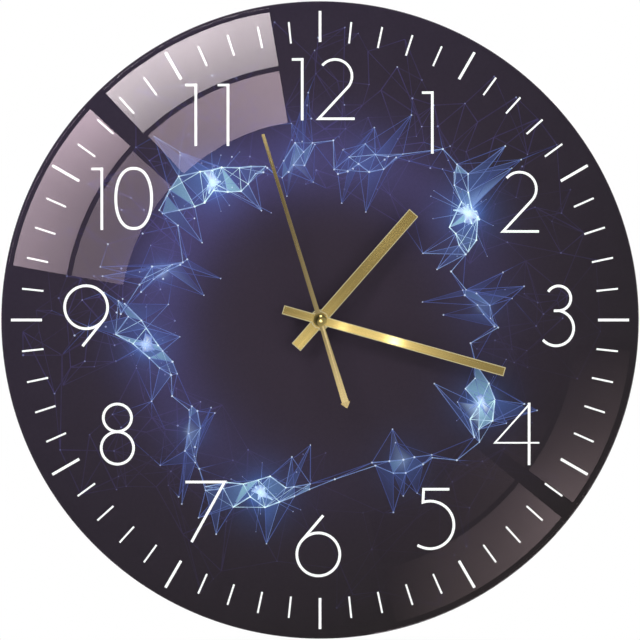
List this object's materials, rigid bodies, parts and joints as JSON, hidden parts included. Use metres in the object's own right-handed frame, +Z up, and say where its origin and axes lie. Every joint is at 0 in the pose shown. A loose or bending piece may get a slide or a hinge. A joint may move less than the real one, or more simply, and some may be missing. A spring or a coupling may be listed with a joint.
{
  "type": "wall clock",
  "caption": "Frameless round glass wall clock with a printed dark dial, gold baton hands, a ridged second hand and a battery quartz movement behind the glass.",
  "frame": {"origin": "on the wall plane behind the middle of the dial, in the back face of the movement's housing", "axes": "+Z up, the dial faces -Y, +X to the right seen from the front; the hands turn about Y, and a positive turn is clockwise from the front"},
  "size_m": [0.3, 0.033, 0.3],
  "materials": {
    "dial_glass": "clear, polished edge",
    "dial_ink": "dark print with white numerals, white ink at the back",
    "brushed_gold": "brushed along its length, gold anodised",
    "plain_brass": "turned",
    "black_metal": "blackened",
    "zinc_steel": "zinc plated",
    "arbor_steel": "polished",
    "black_rubber": "matt",
    "black_housing": "moulded, fine texture",
    "white_nylon": "moulded",
    "soft_iron": "stamped sheet",
    "magnet": "sintered",
    "copper_wire": "enamelled",
    "bobbin_plastic": "moulded",
    "board": "lacquered",
    "resin": "cast drop",
    "nickel": "nickel plated",
    "battery_jacket": "plain film sleeve"
  },
  "bodies": {
    "root": {"glass_panel": "dial_glass", "dial_print": "dial_ink", "panel_gasket": "black_rubber", "threaded_bushing": "plain_brass", "front_washer": "black_metal", "hex_nut": "black_metal", "wall_hanger": "zinc_steel", "case_front": "black_housing", "case_back": "black_housing", "middle_plate": "white_nylon", "stator": "soft_iron", "coil_core": "soft_iron", "coil_bobbin": "bobbin_plastic", "coil_winding": "copper_wire", "circuit_board": "board", "quartz_crystal": "nickel", "chip_cover": "resin", "contact_positive": "nickel", "contact_negative": "nickel"},
    "second_train": {"second_hand": "brushed_gold", "second_cap": "brushed_gold", "second_pipe": "plain_brass", "second_arbor": "arbor_steel", "second_wheel": "white_nylon"},
    "minute_train": {"minute_hand": "brushed_gold", "minute_collar": "plain_brass", "cannon_pinion": "white_nylon"},
    "hour_train": {"hour_hand": "brushed_gold", "hour_collar": "plain_brass", "hour_wheel": "white_nylon"},
    "centre": {"centre_wheel": "white_nylon"},
    "third": {"third_wheel": "white_nylon"},
    "intermediate": {"intermediate_wheel": "white_nylon"},
    "rotor": {"rotor_pinion": "white_nylon", "rotor_magnet": "magnet"},
    "setting": {"minute_wheel": "white_nylon", "setting_knob": "white_nylon"},
    "battery_cell": {"battery": "battery_jacket", "battery_terminal": "nickel"}
  },
  "joints": [
    {"name": "second_hand_turn", "type": "hinge", "parent": "root", "child": "second_train", "pos_m": [0, 0, 0], "axis": [0, 1, 0], "continuous": true},
    {"name": "minute_hand_turn", "type": "hinge", "parent": "root", "child": "minute_train", "pos_m": [0, 0, 0], "axis": [0, 1, 0], "continuous": true},
    {"name": "hour_hand_turn", "type": "hinge", "parent": "root", "child": "hour_train", "pos_m": [0, 0, 0], "axis": [0, 1, 0], "continuous": true},
    {"name": "centre_wheel_turn", "type": "hinge", "parent": "root", "child": "centre", "pos_m": [0, 0, 0], "axis": [0, 1, 0], "continuous": true},
    {"name": "third_wheel_turn", "type": "hinge", "parent": "root", "child": "third", "pos_m": [-0.00643, 0, 0.00766], "axis": [0, 1, 0], "continuous": true},
    {"name": "intermediate_wheel_turn", "type": "hinge", "parent": "root", "child": "intermediate", "pos_m": [0.00551, 0, 0.00817], "axis": [0, 1, 0], "continuous": true},
    {"name": "rotor_turn", "type": "hinge", "parent": "root", "child": "rotor", "pos_m": [0.00255, 0, 0.01451], "axis": [0, 1, 0], "continuous": true},
    {"name": "setting_knob_turn", "type": "hinge", "parent": "root", "child": "setting", "pos_m": [0.01136, 0, -0.00099], "axis": [0, 1, 0], "continuous": true},
    {"name": "battery_lift", "type": "slide", "parent": "root", "child": "battery_cell", "axis": [0, 1, 0], "range_m": [0, 0.02]}
  ],
  "couplings": [
    {"joint": "hour_hand_turn", "follows": "minute_hand_turn", "ratio": 0.083333},
    {"joint": "setting_knob_turn", "follows": "minute_hand_turn", "ratio": -0.33333},
    {"joint": "centre_wheel_turn", "follows": "second_hand_turn", "ratio": 0.016667},
    {"joint": "third_wheel_turn", "follows": "second_hand_turn", "ratio": -0.13333},
    {"joint": "intermediate_wheel_turn", "follows": "second_hand_turn", "ratio": -5},
    {"joint": "rotor_turn", "follows": "second_hand_turn", "ratio": 30}
  ]
}
